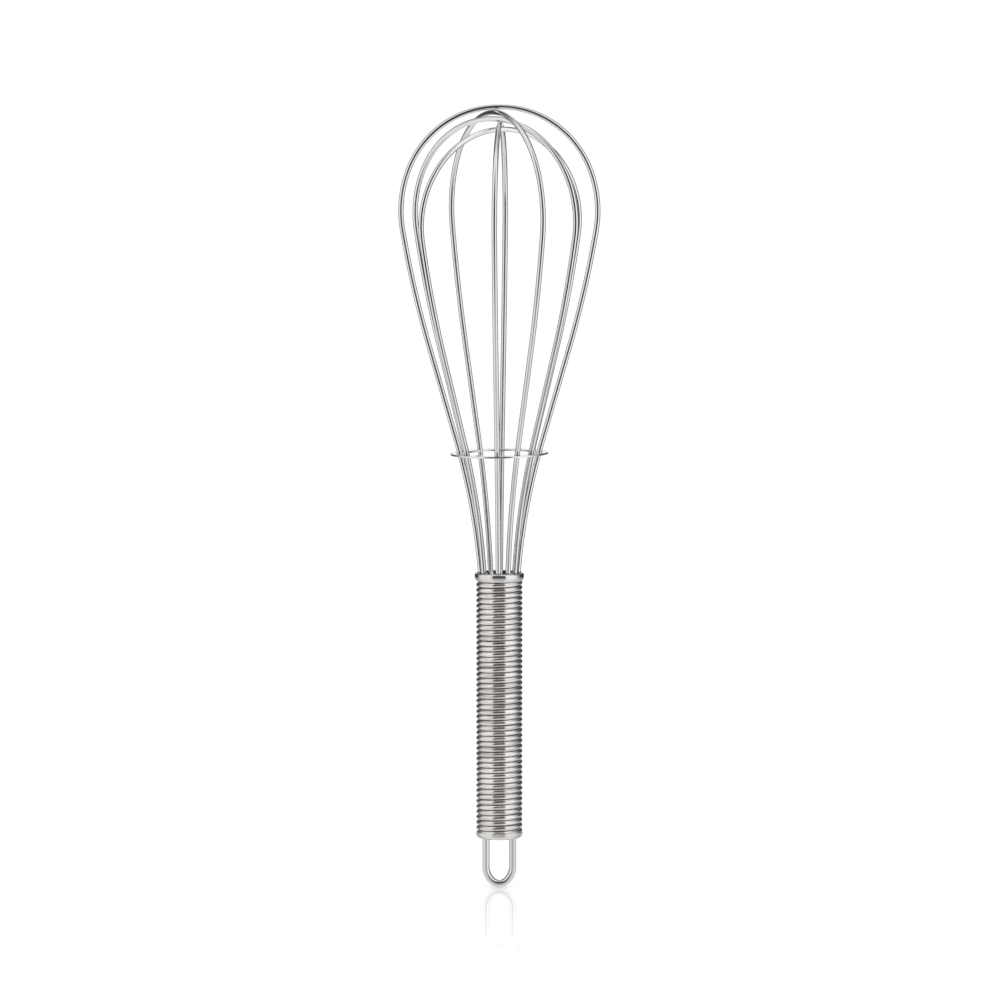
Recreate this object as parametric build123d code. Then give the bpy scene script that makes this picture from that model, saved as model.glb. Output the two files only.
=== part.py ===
from build123d import *

import os
from math import acos, cos, degrees, radians, sin

# A balloon whisk of polished stainless steel, standing upright with its handle down.
#
# Five round wire loops cross at the crown and run down through a thin spacer ring to a collar.
# Their legs neck in below the collar's lip and lie between a core tube and a close-wound coil,
# which is the grip. An end cap closes the grip, and a bent wire eye hangs below it.
#
# Heights are measured up from the lowest point of the hanging loop. The finished pieces are then
# moved down, so that the origin is the middle of the grip. The whisk's long axis is Z. All
# lengths are in millimetres and all angles in degrees.

# Overall and grip. The grip wire starts at an azimuth of GRIP_START. It is wound past both of its
# seats by GRIP_OVERRUN, and its ends are ground flat there.
OVERALL_LENGTH = 254.0
COLLAR_TOP = 102.66
COLLAR_HEIGHT = 2.56
GRIP_DIAMETER = 15.0
GRIP_WIRE = 1.68
GRIP_PITCH = 1.72
GRIP_START = 132.0
GRIP_OVERRUN = 0.7
CAP_TOP = 18.3
CAP_HEIGHT = 2.15
SEAT_GAP = 0.02

# Whisk wires. A heading is how far a wire's run is turned below level, going outwards and down
# from the crown: 0 at the apex, 90 where the balloon is widest, more where it narrows. Nested
# crowns are flatter than the outer one, by CROWN_FLATTENING for each millimetre of nesting.
WIRE_DIAMETER = 1.75
CROWN_RADIUS = 31.2
CROWN_END_HEADING = 67.5
SHOULDER_RADIUS = 37.2
SHOULDER_END_HEADING = 99.6
CROWN_FLATTENING = 0.006
FLANK_RADIUS = 344.5
FLANK_HEADING = 106.0
FLANK_LENGTH = 32.0
THROAT_RADIUS = 218.7
NECK_TOP = 103.0
NECK_HEADING = 132.0
LEG_RADIUS = 4.9
LEG_LENGTH = 25.0

# Each loop: its azimuth about Z, its sideways lean, and how far its crown nests below the first.
WIRE_LOOPS = {
    "wire_loop_1": (0.0, 0.0, 0.0),
    "wire_loop_2": (117.9, 0.44, 1.8),
    "wire_loop_3": (145.7, 1.22, 3.73),
    "wire_loop_4": (86.7, -0.08, 5.4),
    "wire_loop_5": (34.4, -0.37, 7.2),
}

# Spacer ring: a thin flat ring that the ten wires pass through
RING_HEIGHT = 141.3
RING_OUTER_RADIUS = 15.8
RING_INNER_RADIUS = 10.9
RING_THICKNESS = 0.6
RING_TILT = 1.0
RING_HOLE_GAP = 0.17
RING_EDGE_ROUND = 0.15
RING_CUTTER_LENGTH = 4.0

# Collar: a rounded ferrule with a flared mouth
COLLAR_RADIUS = 8.0
COLLAR_FOOT_RADIUS = 7.45
COLLAR_LIP_ROUND = 0.7
COLLAR_WAIST = 1.5
MOUTH_RADIUS = 7.15
MOUTH_DEPTH = 0.8
MOUTH_EDGE_BEVEL = 0.15
COLLAR_THROAT_ROUND = 1.33
COLLAR_THROAT_TURN = 48.0

# Core of the handle
CORE_RADIUS = 4.0
CORE_BORE_RADIUS = 3.0
CORE_TOP = 97.4
PLUG_HEAD_HEIGHT = 0.8
PLUG_DOME_HEIGHT = 0.5
PLUG_STEM_LENGTH = 5.0
RETAINER_LENGTH = 20.0
FIT_GAP = 0.03

# End cap and hanging loop
CAP_RADIUS = 7.6
CAP_FACE_RADIUS = 6.3
CAP_RIM_HEIGHT = 0.5
CAP_SPIGOT_LENGTH = 1.4
EYE_WIRE = 2.4
EYE_WIDTH = 11.0
EYE_SIDE_RADIUS = 6.2
EYE_SIDE_TURN = 45.0
EYE_LEG_TOP = 34.0

# Values that follow from the ones above
WIRE_RADIUS = WIRE_DIAMETER / 2
GRIP_TOP = COLLAR_TOP - COLLAR_HEIGHT
GRIP_BORE_RADIUS = GRIP_DIAMETER / 2 - GRIP_WIRE
ORIGIN_HEIGHT = (GRIP_TOP + CAP_TOP) / 2
APEX_HEIGHT = OVERALL_LENGTH - WIRE_RADIUS
RETAINER_BOTTOM = CAP_TOP + CAP_SPIGOT_LENGTH + SEAT_GAP
RETAINER_TOP = RETAINER_BOTTOM + RETAINER_LENGTH
EYE_LEG_X = (EYE_WIDTH - EYE_WIRE) / 2


def arc_travel(radius, start, end):
    """How far out and how far down an arc goes while its heading turns from start to end."""
    out = radius * (sin(radians(end)) - sin(radians(start)))
    down = radius * (cos(radians(start)) - cos(radians(end)))
    return out, down


CROWN_OUT, CROWN_DOWN = arc_travel(CROWN_RADIUS, 0, CROWN_END_HEADING)
SHOULDER_OUT, SHOULDER_DOWN = arc_travel(SHOULDER_RADIUS, CROWN_END_HEADING, SHOULDER_END_HEADING)
FLANK_OUT, FLANK_DOWN = arc_travel(FLANK_RADIUS, SHOULDER_END_HEADING, FLANK_HEADING)
BOW_OUT = CROWN_OUT + SHOULDER_OUT
BOW_DOWN = CROWN_DOWN + SHOULDER_DOWN
FLANK_SIN = sin(radians(FLANK_HEADING))
FLANK_COS = cos(radians(FLANK_HEADING))
THROAT_TOP_OUT = BOW_OUT + FLANK_OUT + FLANK_LENGTH * FLANK_COS
THROAT_TOP = APEX_HEIGHT - BOW_DOWN - FLANK_DOWN - FLANK_LENGTH * FLANK_SIN


def throat_heading(height):
    """Heading of a wire in its throat arc, where it curves back towards upright."""
    return degrees(acos(FLANK_COS + (THROAT_TOP - height) / THROAT_RADIUS))


def throat_out(height):
    """Distance of a wire's centre from the whisk's axis in its throat arc."""
    return THROAT_TOP_OUT - THROAT_RADIUS * (sin(radians(throat_heading(height))) - FLANK_SIN)


def bow_radii(nest):
    """Crown and shoulder radii of a nested loop, which keep its flanks in line with the others."""
    crown_share = CROWN_OUT * FLANK_SIN - CROWN_DOWN * FLANK_COS
    shoulder_share = SHOULDER_OUT * FLANK_SIN - SHOULDER_DOWN * FLANK_COS
    scale = 1 + nest * FLANK_COS / (crown_share + shoulder_share)
    crown_scale = scale * (1 + CROWN_FLATTENING * nest)
    shoulder_scale = scale + (scale - crown_scale) * crown_share / shoulder_share
    return crown_scale * CROWN_RADIUS, shoulder_scale * SHOULDER_RADIUS


def half_loop(nest):
    """One side of a wire loop as tangent arcs and lines, from its apex to its leg's end."""
    crown_radius, shoulder_radius = bow_radii(nest)
    neck_start = throat_heading(NECK_TOP)
    neck_turns = sin(radians(neck_start)) + 1 - 2 * sin(radians(NECK_HEADING))
    neck_radius = (throat_out(NECK_TOP) - LEG_RADIUS) / neck_turns
    crown = JernArc((0, APEX_HEIGHT - nest), (1, 0), crown_radius, -CROWN_END_HEADING)
    shoulder_turn = SHOULDER_END_HEADING - CROWN_END_HEADING
    shoulder = JernArc(crown @ 1, crown % 1, shoulder_radius, -shoulder_turn)
    bulge = JernArc(shoulder @ 1, shoulder % 1, FLANK_RADIUS, SHOULDER_END_HEADING - FLANK_HEADING)
    flank = Line(bulge @ 1, bulge @ 1 + (bulge % 1) * (((bulge @ 1).Z - THROAT_TOP) / FLANK_SIN))
    throat = JernArc(flank @ 1, flank % 1, THROAT_RADIUS, FLANK_HEADING - neck_start)
    neck_in = JernArc(throat @ 1, throat % 1, neck_radius, neck_start - NECK_HEADING)
    neck_out = JernArc(neck_in @ 1, neck_in % 1, neck_radius, NECK_HEADING - 90)
    leg = Line(neck_out @ 1, neck_out @ 1 + (neck_out % 1) * LEG_LENGTH)
    return [crown, shoulder, bulge, flank, throat, neck_in, neck_out, leg]


def in_place(piece, azimuth, lean):
    """Turn a piece drawn in the XZ plane to its azimuth, leaning about the foot of its neck."""
    pivot = (0, 0, GRIP_TOP)
    return Pos(pivot) * Rot(0, 0, azimuth) * Rot(-lean, 0, 0) * Pos(0, 0, -GRIP_TOP) * piece


def wire_loop(azimuth, lean, nest):
    with BuildLine(Plane.XZ) as path:
        half_loop(nest)
        mirror(about=Plane.YZ)
    route = path.wire()
    section = Plane(origin=route @ 0, z_dir=route % 0) * Circle(WIRE_RADIUS)
    return in_place(sweep(section, path=route), azimuth, lean)


def wire_hole(azimuth, lean, side):
    """The round cutter for one wire's hole in the spacer ring. Side is 1 or -1."""
    heading = throat_heading(RING_HEIGHT)
    cutter = Cylinder(WIRE_RADIUS + RING_HOLE_GAP, RING_CUTTER_LENGTH)
    place = Pos(side * throat_out(RING_HEIGHT), 0, RING_HEIGHT) * Rot(0, side * (heading - 90), 0)
    return in_place(place * cutter, azimuth, lean)


def spacer_ring():
    ring = Cylinder(RING_OUTER_RADIUS, RING_THICKNESS) - Cylinder(RING_INNER_RADIUS, RING_THICKNESS)
    ring = fillet(ring.edges(), RING_EDGE_ROUND)
    ring = Pos(0, 0, RING_HEIGHT) * Rot(0, -RING_TILT, 0) * ring
    for azimuth, lean, _ in WIRE_LOOPS.values():
        for side in (1, -1):
            ring -= wire_hole(azimuth, lean, side)
    return ring


def turned(bottom, *outline):
    """A turned piece: the closed outline, in radius and height above bottom, spun about Z."""
    with BuildSketch(Plane.XZ) as profile:
        with BuildLine():
            for draw, *points in outline:
                draw(*points)
        make_face()
    return Pos(0, 0, bottom) * revolve(profile.sketch, axis=Axis.Z)


def arc_radius(half_width, depth):
    """Radius of an arc that leaves a line at a tangent and is depth away from it after half_width."""
    return (half_width**2 + depth**2) / (2 * depth)


def collar():
    throat_radius = GRIP_BORE_RADIUS + SEAT_GAP
    throat_turn = radians(COLLAR_THROAT_TURN)
    throat_top = (
        throat_radius + COLLAR_THROAT_ROUND * (1 - cos(throat_turn)),
        COLLAR_THROAT_ROUND * sin(throat_turn),
    )
    foot = (COLLAR_FOOT_RADIUS, 0)
    waist = (COLLAR_RADIUS, COLLAR_WAIST)
    shoulder = (COLLAR_RADIUS, COLLAR_HEIGHT - COLLAR_LIP_ROUND)
    lip_outer = (COLLAR_RADIUS - COLLAR_LIP_ROUND, COLLAR_HEIGHT)
    lip_inner = (MOUTH_RADIUS + MOUTH_EDGE_BEVEL, COLLAR_HEIGHT)
    mouth_top = (MOUTH_RADIUS, COLLAR_HEIGHT - MOUTH_EDGE_BEVEL)
    flare_top = (MOUTH_RADIUS, COLLAR_HEIGHT - MOUTH_DEPTH)
    foot_round = arc_radius(COLLAR_WAIST, COLLAR_RADIUS - COLLAR_FOOT_RADIUS)
    return turned(
        GRIP_TOP,
        (RadiusArc, (throat_radius, 0), throat_top, COLLAR_THROAT_ROUND),
        (Polyline, throat_top, flare_top, mouth_top, lip_inner, lip_outer),
        (RadiusArc, lip_outer, shoulder, COLLAR_LIP_ROUND),
        (Line, shoulder, waist),
        (RadiusArc, waist, foot, foot_round),
        (Line, foot, (throat_radius, 0)),
    )


def grip_coil():
    """The close-wound grip wire: one right-handed helix, ground flat at the cap and the collar."""
    length = GRIP_TOP - CAP_TOP - 2 * SEAT_GAP
    helix = Helix(GRIP_PITCH, length + 2 * GRIP_OVERRUN, (GRIP_DIAMETER - GRIP_WIRE) / 2)
    section = Plane(origin=helix @ 0, z_dir=helix % 0) * Circle(GRIP_WIRE / 2)
    coil = sweep(section, path=helix, is_frenet=True)
    wound = Pos(0, 0, CAP_TOP + SEAT_GAP - GRIP_OVERRUN) * Rot(0, 0, GRIP_START) * coil
    return wound & Pos(0, 0, (GRIP_TOP + CAP_TOP) / 2) * Cylinder(GRIP_DIAMETER, length)


def core_tube():
    length = CORE_TOP - RETAINER_TOP - SEAT_GAP
    tube = Cylinder(CORE_RADIUS, length) - Cylinder(CORE_BORE_RADIUS, length)
    return Pos(0, 0, CORE_TOP - length / 2) * tube


def core_plug():
    """The domed plug that closes the core tube at the bottom of the collar's mouth."""
    stem_radius = CORE_BORE_RADIUS - FIT_GAP
    top = (0, PLUG_HEAD_HEIGHT + PLUG_DOME_HEIGHT)
    dome_edge = (CORE_RADIUS, PLUG_HEAD_HEIGHT)
    dome_radius = arc_radius(CORE_RADIUS, PLUG_DOME_HEIGHT)
    return turned(
        CORE_TOP + SEAT_GAP,
        (Polyline, top, (0, -PLUG_STEM_LENGTH), (stem_radius, -PLUG_STEM_LENGTH), (stem_radius, 0)),
        (Polyline, (stem_radius, 0), (CORE_RADIUS, 0), dome_edge),
        (RadiusArc, top, dome_edge, dome_radius),
    )


def eye_holes(bottom, length):
    """The two round cutters for the hanging loop's legs."""
    cutter = Cylinder(EYE_WIRE / 2 + SEAT_GAP, length)
    return [Pos(side * EYE_LEG_X, 0, bottom + length / 2) * cutter for side in (1, -1)]


def eye_retainer():
    """The solid block inside the grip's lower end that holds the hanging loop's legs."""
    radius = GRIP_BORE_RADIUS - FIT_GAP
    block = Pos(0, 0, RETAINER_BOTTOM + RETAINER_LENGTH / 2) * Cylinder(radius, RETAINER_LENGTH)
    for cutter in eye_holes(RETAINER_BOTTOM, EYE_LEG_TOP + SEAT_GAP - RETAINER_BOTTOM):
        block -= cutter
    return block


def end_cap():
    rim_bottom = (CAP_RADIUS, CAP_HEIGHT - CAP_RIM_HEIGHT)
    bevel_radius = arc_radius(CAP_HEIGHT - CAP_RIM_HEIGHT, CAP_RADIUS - CAP_FACE_RADIUS)
    spigot_radius = GRIP_BORE_RADIUS - FIT_GAP
    spigot_top = CAP_HEIGHT + CAP_SPIGOT_LENGTH
    cap = turned(
        CAP_TOP - CAP_HEIGHT,
        (Polyline, (0, spigot_top), (0, 0), (CAP_FACE_RADIUS, 0)),
        (RadiusArc, rim_bottom, (CAP_FACE_RADIUS, 0), bevel_radius),
        (Polyline, rim_bottom, (CAP_RADIUS, CAP_HEIGHT), (spigot_radius, CAP_HEIGHT)),
        (Polyline, (spigot_radius, CAP_HEIGHT), (spigot_radius, spigot_top), (0, spigot_top)),
    )
    for cutter in eye_holes(0, EYE_LEG_TOP):
        cap -= cutter
    return cap


def hanging_loop():
    """A U of heavier wire, its bend a little longer than a half circle."""
    turn = radians(EYE_SIDE_TURN)
    bottom_radius = (EYE_LEG_X - EYE_SIDE_RADIUS * (1 - cos(turn))) / cos(turn)
    bend_height = EYE_SIDE_RADIUS * sin(turn) + bottom_radius * (1 - sin(turn))
    bend_top = (EYE_LEG_X, EYE_WIRE / 2 + bend_height)
    with BuildLine(Plane.XZ) as path:
        leg = Line((EYE_LEG_X, EYE_LEG_TOP), bend_top)
        side = JernArc(leg @ 1, leg % 1, EYE_SIDE_RADIUS, -EYE_SIDE_TURN)
        JernArc(side @ 1, side % 1, bottom_radius, EYE_SIDE_TURN - 90)
        mirror(about=Plane.YZ)
    route = path.wire()
    section = Plane(origin=route @ 0, z_dir=route % 0) * Circle(EYE_WIRE / 2)
    return sweep(section, path=route)


nodes = {name: wire_loop(*place) for name, place in WIRE_LOOPS.items()}
nodes["spacer_ring"] = spacer_ring()
nodes["collar"] = collar()
nodes["grip_coil"] = grip_coil()
nodes["core_tube"] = core_tube()
nodes["core_plug"] = core_plug()
nodes["eye_retainer"] = eye_retainer()
nodes["end_cap"] = end_cap()
nodes["hanging_loop"] = hanging_loop()

os.makedirs("parts", exist_ok=True)
for name, solid in nodes.items():
    export_step(Pos(0, 0, -ORIGIN_HEIGHT) * solid, f"parts/{name}.step")
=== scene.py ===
from math import acos, ceil, copysign, cos, pi, radians, sin, sqrt

import bpy
from mathutils import Matrix, Vector


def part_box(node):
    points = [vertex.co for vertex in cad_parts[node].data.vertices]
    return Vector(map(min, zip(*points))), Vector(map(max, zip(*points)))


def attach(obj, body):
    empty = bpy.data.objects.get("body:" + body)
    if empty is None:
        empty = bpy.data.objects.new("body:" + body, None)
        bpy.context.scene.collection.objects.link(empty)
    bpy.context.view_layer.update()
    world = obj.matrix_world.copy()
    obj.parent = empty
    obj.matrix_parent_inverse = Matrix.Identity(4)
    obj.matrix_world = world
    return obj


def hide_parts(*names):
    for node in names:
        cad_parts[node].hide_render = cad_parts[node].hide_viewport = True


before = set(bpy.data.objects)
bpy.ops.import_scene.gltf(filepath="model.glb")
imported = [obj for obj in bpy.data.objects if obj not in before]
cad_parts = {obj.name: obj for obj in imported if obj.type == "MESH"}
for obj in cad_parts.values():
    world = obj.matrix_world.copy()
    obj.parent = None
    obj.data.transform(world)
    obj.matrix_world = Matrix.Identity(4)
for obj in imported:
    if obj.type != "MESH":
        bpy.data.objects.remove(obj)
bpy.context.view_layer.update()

# A balloon whisk of polished stainless steel, standing upright on its hanging loop.
#
# The round wires, which are the five whisk loops, the grip's coil and the hanging loop, are swept
# here as fine meshes along the CAD model's own paths, and carry their drawn grain with them. The
# turned and stamped pieces are the CAD meshes. Lengths are in metres and angles in radians.

# Places read from the frame. The origin is the middle of the grip.
GRIP_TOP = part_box("collar")[0].z
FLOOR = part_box("hanging_loop")[0].z

# Whisk loops. A heading is how far a wire's run is turned below level, going outwards and down
# from the crown. Nested crowns are flatter, by CROWN_FLATTENING for each metre of nesting.
WIRE_RADIUS = 0.000875
CROWN_RADIUS = 0.0312
CROWN_END_HEADING = radians(67.5)
SHOULDER_RADIUS = 0.0372
SHOULDER_END_HEADING = radians(99.6)
CROWN_FLATTENING = 6.0
FLANK_RADIUS = 0.3445
FLANK_HEADING = radians(106.0)
FLANK_LENGTH = 0.032
THROAT_RADIUS = 0.2187
NECK_TOP = GRIP_TOP + 0.0029
NECK_HEADING = radians(132.0)
LEG_RADIUS = 0.0049
LEG_LENGTH = 0.025
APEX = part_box("wire_loop_1")[1].z - WIRE_RADIUS

# Each loop: its azimuth, its sideways lean, and how far its crown nests below the first
WIRE_LOOPS = {
    "wire_loop_1": (radians(0.0), radians(0.0), 0.0),
    "wire_loop_2": (radians(117.9), radians(0.44), 0.0018),
    "wire_loop_3": (radians(145.7), radians(1.22), 0.00373),
    "wire_loop_4": (radians(86.7), radians(-0.08), 0.0054),
    "wire_loop_5": (radians(34.4), radians(-0.37), 0.0072),
}

# Grip coil, wound past its seats by GRIP_OVERRUN and ground flat there
GRIP_WIRE_RADIUS = 0.00084
GRIP_PITCH = 0.00172
GRIP_START = radians(132.0)
GRIP_OVERRUN = 0.0007
COIL_RADIUS = 0.00666
COIL_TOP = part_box("grip_coil")[1].z

# Hanging loop
EYE_WIRE_RADIUS = 0.0012
EYE_SIDE_RADIUS = 0.0062
EYE_SIDE_TURN = radians(45.0)
EYE_LEG_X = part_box("hanging_loop")[1].x - EYE_WIRE_RADIUS
EYE_LEG_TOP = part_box("hanging_loop")[1].z

# How finely the wires are swept: the longest step and the widest turn between two sections, the
# coil's sections to a turn, and the sides of a section
LONGEST_STEP = 0.0008
WIDEST_STEP = radians(4.0)
COIL_STEPS = 60
WIRE_SIDES = 28
COIL_SIDES = 24

# Softening of a wire's cut ends, as a part of its radius
CUT_END = 0.3

# Steel's wear is its fine grain and its broad smudges, added in these shares. As wear rises from
# the first of a pair of levels to the second, the metal becomes dull or rough.
GRAIN_SHARE = 0.6
SMUDGE_SHARE = 0.4
DULLING = (0.42, 0.68)
ROUGHENING = (0.35, 0.65)
GRAIN_STRENGTH = 0.6

# Roughness that metal under painted shade has beyond the rest
PAINTED_SHADE_ROUGHNESS = 0.2

# Brushed metal spreads what it mirrors a quarter turn from the way round the axis
BRUSHED_TURN = 0.25

# Grain and smudges, in cells to a metre: along the wire or round the axis first
DRAWN_GRAIN = (60.0, 5000.0, 5000.0)
DRAWN_SMUDGE = (90.0, 400.0, 400.0)
COIL_GRAIN = (180.0, 2200.0, 2200.0)
TURNED_GRAIN = (80.0, 6000.0, 6000.0)
TURNED_SMUDGE = (300.0, 300.0, 300.0)
SHEET_GRAIN = (1500.0, 1500.0, 1500.0)
SHEET_SMUDGE = (400.0, 400.0, 400.0)

# Camera, with its lens and sensor in millimetres
CAMERA_PLACE = (-0.0014, -2.6, 0.3235)
CAMERA_PITCH = radians(5.60)
CAMERA_LENS = 294.3
SENSOR_WIDTH = 36.0

# Floor. Its shine is the faint mirror image round the object's foot, and fades between the two
# distances of SHINE_REACH from there.
FLOOR_HALF_WIDTH = 40.0
FLOOR_COLOUR = (0.98, 0.98, 0.98, 1.0)
SHINE_REACH = (0.02, 0.25)
SHINE = (0.28, 0.0)

# The floor's reflection in polished metal is painted by a glowing sheet, which clears between the
# two distances of GLOW_REACH
GLOW_HALF_WIDTH = 0.7
GLOW_DROP = 0.001
GLOW_REACH = (0.2, 0.6)
GLOW_CLEARNESS = (0.4, 1.0)
GLOW_STRENGTH = 0.85

# Whites of the studio. The backdrop is bright enough for the floor round the object's foot to stay
# white, and the mirrored white is that of floor and ceiling in polished metal.
BACKDROP = (1.07, 1.07, 1.07, 1.0)
WHITE = (1.0, 1.0, 1.0, 1.0)
MIRRORED_WHITE = (0.95, 0.95, 0.95, 1.0)

# Brightness of the walls, by the angle from the front round to the right, in degrees
WALLS = [
    (-180, 1.0),
    (-173, 1.0),
    (-165, 0.06),
    (-122, 0.06),
    (-103, 0.85),
    (-60, 1.0),
    (-39, 1.0),
    (-30, 0.035),
    (27, 0.035),
    (34, 1.12),
    (74, 1.12),
    (100, 0.45),
    (116, 0.05),
    (165, 0.05),
    (173, 1.0),
    (180, 1.0),
]

# Share of floor and ceiling in what is mirrored, by the angle above level, in degrees
FLOOR_AND_CEILING = [
    (-90, 1.0),
    (-68, 0.75),
    (-44, 0.32),
    (-26, 0.0),
    (4, 0.0),
    (30, 0.05),
    (48, 0.16),
    (60, 0.42),
    (74, 0.85),
    (90, 1.0),
]

# Diffusers either side of the camera
DIFFUSER_PLACES = {"left_diffuser": (-1.4, -1.0, 0.9), "right_diffuser": (1.4, -1.0, 0.9)}
DIFFUSER_SIZE = 1.2
DIFFUSER_POWER = 4.0


def in_scene(name, data):
    """A new object of the scene, made of its mesh, light or camera data."""
    made = bpy.data.objects.new(name, data)
    bpy.context.scene.collection.objects.link(made)
    return made


# ---------------------------------------------------------------- wires


def go_round(line, radius, end):
    """Carry a line, of (out, height, heading) points, round an arc until its heading is end."""
    out, height, start = line[-1]
    turn = end - start
    steps = max(ceil(abs(turn) * radius / LONGEST_STEP), ceil(abs(turn) / WIDEST_STEP))
    side = radius if turn > 0 else -radius
    for step in range(1, steps + 1):
        heading = start + turn * step / steps
        across = side * (sin(heading) - sin(start))
        line.append((out + across, height - side * (cos(start) - cos(heading)), heading))


def go_straight(line, length):
    out, height, heading = line[-1]
    steps = ceil(length / LONGEST_STEP)
    for step in range(1, steps + 1):
        travel = length * step / steps
        line.append((out + travel * cos(heading), height - travel * sin(heading), heading))


def both_sides(line):
    """The whole wire, from one side's end to the other's, whose right half is line."""
    left = [(-out, height, -heading) for out, height, heading in reversed(line[1:])]
    return left + line


def stations(line, place=Matrix.Identity(4)):
    """Points on a wire in the XZ plane, each with its direction and the way out of its curve."""
    turned = place.to_3x3()
    found = []
    for out, height, heading in line:
        along = turned @ Vector((cos(heading), 0, -sin(heading)))
        outward = turned @ Vector((sin(heading), 0, cos(heading)))
        found.append((place @ Vector((out, 0, height)), along, outward))
    return found


def tube(name, line, radius, sides):
    """A round wire along a line of stations, its cut ends softened.

    The attribute grain holds, for each point, its distance along the wire and its place in the
    wire's round section, so that a material can follow the wire.
    """
    (start, start_along, start_out), (end, end_along, end_out) = line[0], line[-1]
    cut = CUT_END * radius
    rings = [(start, start_along, start_out, radius - cut)]
    rings.append((start + start_along * cut, start_along, start_out, radius))
    rings.extend((*station, radius) for station in line[1:-1])
    rings.append((end - end_along * cut, end_along, end_out, radius))
    rings.append((end, end_along, end_out, radius - cut))
    points = []
    grain = []
    distance = 0.0
    previous = start
    for centre, along, outward, width in rings:
        distance += (centre - previous).length
        previous = centre
        sideways = along.cross(outward)
        for side in range(sides):
            angle = 2 * pi * side / sides
            points.append(centre + (outward * cos(angle) + sideways * sin(angle)) * width)
            grain.extend((distance, width * cos(angle), width * sin(angle)))
    faces = [tuple(reversed(range(sides)))]
    for ring in range(len(rings) - 1):
        for side in range(sides):
            here = ring * sides + side
            beside = ring * sides + (side + 1) % sides
            faces.append((here, beside, beside + sides, here + sides))
    faces.append(tuple(range((len(rings) - 1) * sides, len(rings) * sides)))
    mesh = bpy.data.meshes.new(name)
    mesh.from_pydata(points, [], faces)
    mesh.attributes.new("grain", "FLOAT_VECTOR", "POINT").data.foreach_set("vector", grain)
    for face in mesh.polygons:
        face.use_smooth = len(face.vertices) == 4
    return in_scene(name, mesh)


def flank_share(radius, start, end):
    """How far an arc carries a wire away from the flank's own direction."""
    out = radius * (sin(end) - sin(start))
    down = radius * (cos(start) - cos(end))
    return out * sin(FLANK_HEADING) - down * cos(FLANK_HEADING)


def bow_radii(nest):
    """Crown and shoulder radii of a nested loop, which keep its flanks in line with the others."""
    crown_share = flank_share(CROWN_RADIUS, 0.0, CROWN_END_HEADING)
    shoulder_share = flank_share(SHOULDER_RADIUS, CROWN_END_HEADING, SHOULDER_END_HEADING)
    scale = 1 + nest * cos(FLANK_HEADING) / (crown_share + shoulder_share)
    crown_scale = scale * (1 + CROWN_FLATTENING * nest)
    shoulder_scale = scale + (scale - crown_scale) * crown_share / shoulder_share
    return crown_scale * CROWN_RADIUS, shoulder_scale * SHOULDER_RADIUS


def bowed(nest):
    """A half loop from its apex to the top of its straight flank."""
    crown_radius, shoulder_radius = bow_radii(nest)
    line = [(0.0, APEX - nest, 0.0)]
    go_round(line, crown_radius, CROWN_END_HEADING)
    go_round(line, shoulder_radius, SHOULDER_END_HEADING)
    go_round(line, FLANK_RADIUS, FLANK_HEADING)
    return line


OUTER_FLANK_TOP = bowed(0.0)[-1]
THROAT_TOP = OUTER_FLANK_TOP[1] - FLANK_LENGTH * sin(FLANK_HEADING)


def half_loop(nest):
    """One side of a whisk loop, from its apex to its leg's end."""
    line = bowed(nest)
    go_straight(line, (line[-1][1] - THROAT_TOP) / sin(FLANK_HEADING))
    neck_start = acos(cos(FLANK_HEADING) + (THROAT_TOP - NECK_TOP) / THROAT_RADIUS)
    go_round(line, THROAT_RADIUS, neck_start)
    neck_turns = sin(neck_start) + 1 - 2 * sin(NECK_HEADING)
    neck_radius = (line[-1][0] - LEG_RADIUS) / neck_turns
    go_round(line, neck_radius, NECK_HEADING)
    go_round(line, neck_radius, pi / 2)
    go_straight(line, LEG_LENGTH)
    return line


def whisk_loop(name, azimuth, lean, nest):
    to_pivot = Matrix.Translation((0, 0, GRIP_TOP))
    turned = Matrix.Rotation(azimuth, 4, "Z") @ Matrix.Rotation(-lean, 4, "X")
    place = to_pivot @ turned @ to_pivot.inverted()
    return tube(name, stations(both_sides(half_loop(nest)), place), WIRE_RADIUS, WIRE_SIDES)


def grind(section):
    """Cut a section of the coil's wire off flat where it passes the coil's end."""
    centre = sum((point.co for point in section), Vector()) / len(section)
    depth = (COIL_TOP - abs(centre.z)) / GRIP_WIRE_RADIUS
    for point in section:
        if abs(point.co.z) > COIL_TOP:
            across = (point.co - centre) * sqrt(1 - depth**2)
            point.co = (centre.x + across.x, centre.y + across.y, copysign(COIL_TOP, centre.z))


def grip_coil():
    """The close-wound grip wire, one right-handed helix, ground flat at the cap and the collar."""
    lowest = -COIL_TOP - GRIP_OVERRUN
    turns = 2 * (COIL_TOP + GRIP_OVERRUN) / GRIP_PITCH
    steps = round(turns * COIL_STEPS)
    line = []
    for step in range(steps + 1):
        angle = GRIP_START + 2 * pi * turns * step / steps
        outward = Vector((cos(angle), sin(angle), 0))
        round_about = Vector((-sin(angle), cos(angle), 0)) * COIL_RADIUS
        along = (round_about + Vector((0, 0, GRIP_PITCH / (2 * pi)))).normalized()
        height = lowest + GRIP_PITCH * turns * step / steps
        line.append((outward * COIL_RADIUS + Vector((0, 0, height)), along, outward))
    wound = tube("grip_wire_coil", line, GRIP_WIRE_RADIUS, COIL_SIDES)
    points = wound.data.vertices
    for first in range(0, len(points), COIL_SIDES):
        grind(points[first : first + COIL_SIDES])
    return wound


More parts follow.
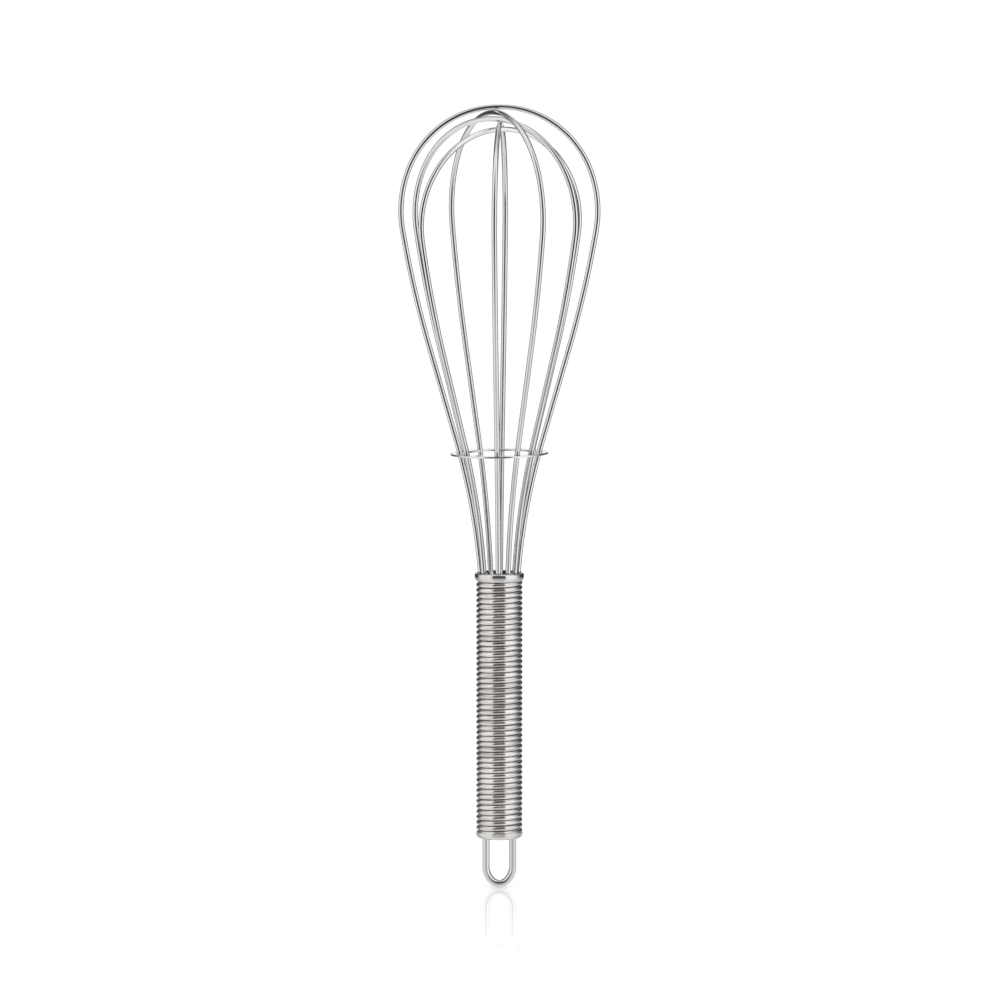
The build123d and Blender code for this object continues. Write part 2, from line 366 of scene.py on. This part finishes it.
def hanging_eye():
    """The heavier wire bent into a U, its legs run up into the grip."""
    turn_down = pi / 2 - EYE_SIDE_TURN
    bottom_radius = (EYE_LEG_X - EYE_SIDE_RADIUS * (1 - cos(EYE_SIDE_TURN))) / cos(EYE_SIDE_TURN)
    line = [(0.0, -FLOOR - EYE_WIRE_RADIUS, 0.0)]
    go_round(line, bottom_radius, turn_down)
    go_round(line, EYE_SIDE_RADIUS, pi / 2)
    go_straight(line, line[-1][1] + EYE_LEG_TOP)
    upside_down = Matrix.Rotation(pi, 4, "Y")
    return tube("hanging_eye", stations(both_sides(line), upside_down), EYE_WIRE_RADIUS, WIRE_SIDES)


# ---------------------------------------------------------------- materials


def feed(tree, socket, value):
    """Set a socket to a value, or link it where the value is another node's output."""
    if isinstance(value, bpy.types.NodeSocket):
        tree.links.new(value, socket)
    else:
        socket.default_value = value


def node(tree, kind, inputs, **settings):
    made = tree.nodes.new("ShaderNode" + kind)
    for name, value in settings.items():
        setattr(made, name, value)
    for name, value in inputs.items():
        feed(tree, made.inputs[name], value)
    return made


def maths(tree, operation, *values):
    return node(tree, "Math", dict(enumerate(values)), operation=operation).outputs[0]


def remap(tree, value, old, new):
    """The value carried smoothly from the old range to the new one, and held at its ends."""
    inputs = {
        "Value": value,
        "From Min": old[0],
        "From Max": old[1],
        "To Min": new[0],
        "To Max": new[1],
    }
    return node(tree, "MapRange", inputs, interpolation_type="SMOOTHSTEP").outputs["Result"]


def noise(tree, place, scale, detail):
    """Noise over a place, with its own number of cells to a metre each way."""
    scaled = node(tree, "VectorMath", {0: place, 1: scale}, operation="MULTIPLY").outputs[0]
    return node(tree, "TexNoise", {"Vector": scaled, "Scale": 1.0, "Detail": detail}).outputs["Fac"]


def mix(tree, share, first, second):
    made = node(tree, "Mix", {"Factor": share}, data_type="RGBA")
    for socket in made.inputs:
        if socket.identifier == "A_Color":
            feed(tree, socket, first)
        elif socket.identifier == "B_Color":
            feed(tree, socket, second)
    return next(socket for socket in made.outputs if socket.identifier == "Result_Color")


def along_the_wire(tree):
    return node(tree, "Attribute", {}, attribute_name="grain").outputs["Vector"]


def round_the_axis(tree):
    """Place on a turned piece: the way round it, then its radius and its height."""
    place = node(tree, "TexCoord", {}).outputs["Object"]
    parts = node(tree, "SeparateXYZ", {"Vector": place}).outputs
    across = node(tree, "CombineXYZ", {"X": parts["X"], "Y": parts["Y"]}).outputs["Vector"]
    radius = node(tree, "VectorMath", {0: across}, operation="LENGTH").outputs["Value"]
    way = maths(tree, "MULTIPLY", maths(tree, "ARCTAN2", parts["Y"], parts["X"]), radius)
    return node(tree, "CombineXYZ", {"X": way, "Y": radius, "Z": parts["Z"]}).outputs["Vector"]


def in_the_sheet(tree):
    return node(tree, "TexCoord", {}).outputs["Object"]


def steel(name, place, colours, roughness, grain, smudge, depth, painted_shade_span=None, brushed=0.0):
    """Polished steel with a directional grain and faint smudges.

    place gives the surface coordinates, colours the clean, the dull and the painted-shade metal,
    grain and smudge the cells to a metre, and depth how deep the grain is. The optional span before
    brushed gives where, along the second of the coordinates, the metal is darkened with painted
    shade. brushed is how much more the metal spreads what it mirrors along Z than round it.
    """
    material = bpy.data.materials.new(name)
    material.use_nodes = True
    tree = material.node_tree
    metal = tree.nodes["Principled BSDF"]
    where = place(tree)
    fine = noise(tree, where, grain, 1.0)
    broad = noise(tree, where, smudge, 2.0)
    worn_by_grain = maths(tree, "MULTIPLY", fine, GRAIN_SHARE)
    wear = maths(tree, "ADD", worn_by_grain, maths(tree, "MULTIPLY", broad, SMUDGE_SHARE))
    colour = mix(tree, remap(tree, wear, DULLING, (0.0, 1.0)), colours[0], colours[1])
    rough = remap(tree, wear, ROUGHENING, roughness)
    # Painted shade: below the span along the second coordinate, the metal takes its third,
    # near-black colour and a little more roughness.
    if painted_shade_span:
        section = node(tree, "SeparateXYZ", {"Vector": where}).outputs
        shade_mask = remap(tree, section["Y"], painted_shade_span, (1.0, 0.0))
        colour = mix(tree, shade_mask, colour, colours[2])
        rough = maths(tree, "ADD", rough, maths(tree, "MULTIPLY", shade_mask, PAINTED_SHADE_ROUGHNESS))
    if brushed:
        tangent = node(tree, "Tangent", {}, direction_type="RADIAL", axis="Z").outputs[0]
        feed(tree, metal.inputs["Tangent"], tangent)
        metal.inputs["Anisotropic"].default_value = brushed
        metal.inputs["Anisotropic Rotation"].default_value = BRUSHED_TURN
    bump = node(tree, "Bump", {"Strength": GRAIN_STRENGTH, "Distance": depth, "Height": fine})
    feed(tree, metal.inputs["Base Color"], colour)
    feed(tree, metal.inputs["Roughness"], rough)
    feed(tree, metal.inputs["Normal"], bump.outputs["Normal"])
    metal.inputs["Metallic"].default_value = 1.0
    return material


def finish_with(piece, material):
    piece.data.materials.clear()
    piece.data.materials.append(material)


# ---------------------------------------------------------------- studio


def ramp(tree, value, stops, whole):
    """Greys along a value from 0 to 1, which stands for a whole angle with its middle at zero.

    Each stop is an angle and its grey.
    """
    made = node(tree, "ValToRGB", {"Fac": value})
    elements = made.color_ramp.elements
    while len(elements) < len(stops):
        elements.new(0.5)
    for element, (angle, grey) in zip(elements, stops):
        element.position = 0.5 + angle / whole
        element.color = (grey, grey, grey, 1.0)
    return made.outputs["Color"]


def studio_world():
    """A white studio.

    What polished metal mirrors is its walls: a dark gap in front of the object, where the camera
    is, bright diffusers either side of it, and greyer walls further round. The floor mirrors
    perfectly, and what it mirrors is only the white backdrop and the object.
    """
    world = bpy.data.worlds.new("studio")
    bpy.context.scene.world = world
    world.use_nodes = True
    tree = world.node_tree
    direction = node(tree, "TexCoord", {}).outputs["Generated"]
    parts = node(tree, "SeparateXYZ", {"Vector": direction}).outputs
    backwards = maths(tree, "MULTIPLY", parts["Y"], -1.0)
    azimuth = maths(tree, "ARCTAN2", parts["X"], backwards)
    walls = ramp(tree, maths(tree, "MULTIPLY_ADD", azimuth, 0.5 / pi, 0.5), WALLS, 360.0)
    height = maths(tree, "ARCSINE", parts["Z"])
    level = maths(tree, "MULTIPLY_ADD", height, 1.0 / pi, 0.5)
    overhead = ramp(tree, level, FLOOR_AND_CEILING, 180.0)
    mirrored = mix(tree, overhead, walls, MIRRORED_WHITE)
    path = node(tree, "LightPath", {}).outputs
    in_metal = maths(tree, "SUBTRACT", path["Is Glossy Ray"], path["Is Singular Ray"])
    background = tree.nodes["Background"]
    feed(tree, background.inputs["Color"], mix(tree, in_metal, BACKDROP, mirrored))


def level_sheet(name, half, height):
    """A level square sheet of the studio, centred under the object."""
    mesh = bpy.data.meshes.new(name)
    corners = [(-half, -half), (half, -half), (half, half), (-half, half)]
    mesh.from_pydata([(x, y, height) for x, y in corners], [], [(0, 1, 2, 3)])
    return in_scene(name, mesh)


def empty_material(name):
    material = bpy.data.materials.new(name)
    material.use_nodes = True
    material.node_tree.nodes.clear()
    return material


def distance_from_foot(tree):
    place = node(tree, "NewGeometry", {}).outputs["Position"]
    inputs = {0: place, 1: (0.0, 0.0, FLOOR)}
    return node(tree, "VectorMath", inputs, operation="DISTANCE").outputs["Value"]


def studio_floor():
    """A plain pale floor with a faint mirror image of the object round its foot."""
    floor = level_sheet("floor", FLOOR_HALF_WIDTH, FLOOR)
    material = empty_material("pale_floor")
    tree = material.node_tree
    shine = remap(tree, distance_from_foot(tree), SHINE_REACH, SHINE)
    matt = node(tree, "BsdfDiffuse", {"Color": FLOOR_COLOUR}).outputs[0]
    gloss = node(tree, "BsdfGlossy", {"Color": WHITE, "Roughness": 0.0}).outputs[0]
    both = node(tree, "MixShader", {0: shine, 1: matt, 2: gloss}).outputs[0]
    under = node(tree, "NewGeometry", {}).outputs["Backfacing"]
    clear = node(tree, "BsdfTransparent", {}).outputs[0]
    shown = node(tree, "MixShader", {0: under, 1: both, 2: clear}).outputs[0]
    node(tree, "OutputMaterial", {"Surface": shown})
    finish_with(floor, material)
    floor.visible_glossy = False


def painted_floor_reflection():
    """A glowing sheet under the floor, seen only in polished metal: the painted reflection of the
    floor near the foot, bright and fading outwards.
    """
    near = level_sheet("painted_floor_reflection", GLOW_HALF_WIDTH, FLOOR - GLOW_DROP)
    material = empty_material("painted_floor_reflection")
    tree = material.node_tree
    clear = remap(tree, distance_from_foot(tree), GLOW_REACH, GLOW_CLEARNESS)
    glow = node(tree, "Emission", {"Color": WHITE, "Strength": GLOW_STRENGTH}).outputs[0]
    through = node(tree, "BsdfTransparent", {}).outputs[0]
    shown = node(tree, "MixShader", {0: clear, 1: glow, 2: through}).outputs[0]
    node(tree, "OutputMaterial", {"Surface": shown})
    finish_with(near, material)
    near.visible_camera = False
    near.visible_diffuse = False
    near.visible_shadow = False


def soft_light(name, place):
    """A square diffuser that faces the whisk."""
    lamp = bpy.data.lights.new(name, "AREA")
    lamp.shape = "SQUARE"
    lamp.size = DIFFUSER_SIZE
    lamp.energy = DIFFUSER_POWER
    light = in_scene(name, lamp)
    light.location = place
    light.rotation_euler = Vector(place).to_track_quat("Z", "Y").to_euler()
    light.visible_camera = False
    light.visible_glossy = False


def camera():
    lens = bpy.data.cameras.new("camera")
    lens.lens = CAMERA_LENS
    lens.sensor_width = SENSOR_WIDTH
    lens.clip_start = 0.1
    lens.clip_end = 100.0
    made = in_scene("camera", lens)
    made.location = CAMERA_PLACE
    made.rotation_euler = (pi / 2 - CAMERA_PITCH, 0.0, 0.0)
    bpy.context.scene.camera = made


# ---------------------------------------------------------------- making it

camera()
studio_world()
studio_floor()
painted_floor_reflection()
for name, place in DIFFUSER_PLACES.items():
    soft_light(name, place)
bpy.context.scene.view_settings.view_transform = "Standard"

wire_steel = steel(
    "drawn_wire",
    along_the_wire,
    colours=[(0.83, 0.825, 0.822, 1), (0.76, 0.755, 0.752, 1)],
    roughness=(0.06, 0.12),
    grain=DRAWN_GRAIN,
    smudge=DRAWN_SMUDGE,
    depth=0.0000008,
)
# The grip wire's third colour is painted shade: near black on the wire's inner side and in the
# grooves between turns, fading out towards the outer face.
coil_steel = steel(
    "grip_wire",
    along_the_wire,
    colours=[(0.84, 0.815, 0.795, 1), (0.55, 0.53, 0.51, 1), (0.05, 0.05, 0.05, 1)],
    roughness=(0.11, 0.27),
    grain=COIL_GRAIN,
    smudge=DRAWN_SMUDGE,
    depth=0.00009,
    painted_shade_span=(-0.0001, 0.0004),
    brushed=0.85,
)
eye_steel = steel(
    "eye_wire",
    along_the_wire,
    colours=[(0.78, 0.78, 0.78, 1), (0.70, 0.70, 0.70, 1)],
    roughness=(0.08, 0.15),
    grain=DRAWN_GRAIN,
    smudge=DRAWN_SMUDGE,
    depth=0.000001,
)
# The collar's third colour is painted shade: near black inside its mouth, within 7.1 mm of the
# axis, fading out by 7.3 mm.
collar_steel = steel(
    "turned_collar",
    round_the_axis,
    colours=[(0.80, 0.785, 0.77, 1), (0.68, 0.665, 0.65, 1), (0.07, 0.065, 0.06, 1)],
    roughness=(0.12, 0.20),
    grain=TURNED_GRAIN,
    smudge=TURNED_SMUDGE,
    depth=0.000001,
    painted_shade_span=(0.0071, 0.0073),
    brushed=0.6,
)
cap_steel = steel(
    "turned_cap",
    round_the_axis,
    colours=[(0.80, 0.785, 0.77, 1), (0.68, 0.665, 0.65, 1)],
    roughness=(0.12, 0.20),
    grain=TURNED_GRAIN,
    smudge=TURNED_SMUDGE,
    depth=0.000001,
    brushed=0.6,
)
ring_steel = steel(
    "ring_plate",
    in_the_sheet,
    colours=[(0.82, 0.81, 0.80, 1), (0.76, 0.75, 0.74, 1)],
    roughness=(0.18, 0.26),
    grain=SHEET_GRAIN,
    smudge=SHEET_SMUDGE,
    depth=0.000001,
)
# The core tube, its plug and the eye retainer are near-black metal: painted shade where they show
# in the grip's hollows.
core_shade_steel = steel(
    "core_painted_shade",
    round_the_axis,
    colours=[(0.16, 0.15, 0.14, 1), (0.09, 0.085, 0.08, 1)],
    roughness=(0.35, 0.55),
    grain=TURNED_GRAIN,
    smudge=TURNED_SMUDGE,
    depth=0.000006,
)

for name, (azimuth, lean, nest) in WIRE_LOOPS.items():
    loop = whisk_loop(name.replace("wire_loop", "whisk_wire"), azimuth, lean, nest)
    finish_with(loop, wire_steel)
    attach(loop, "root")
    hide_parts(name)

coil = grip_coil()
finish_with(coil, coil_steel)
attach(coil, "root")
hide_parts("grip_coil")

eye = hanging_eye()
finish_with(eye, eye_steel)
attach(eye, "root")
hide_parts("hanging_loop")

CARRIED_OVER = {
    "spacer_ring": ring_steel,
    "collar": collar_steel,
    "end_cap": cap_steel,
    "core_tube": core_shade_steel,
    "core_plug": core_shade_steel,
    "eye_retainer": core_shade_steel,
}
for name, material in CARRIED_OVER.items():
    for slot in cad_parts[name].material_slots:
        slot.material = material
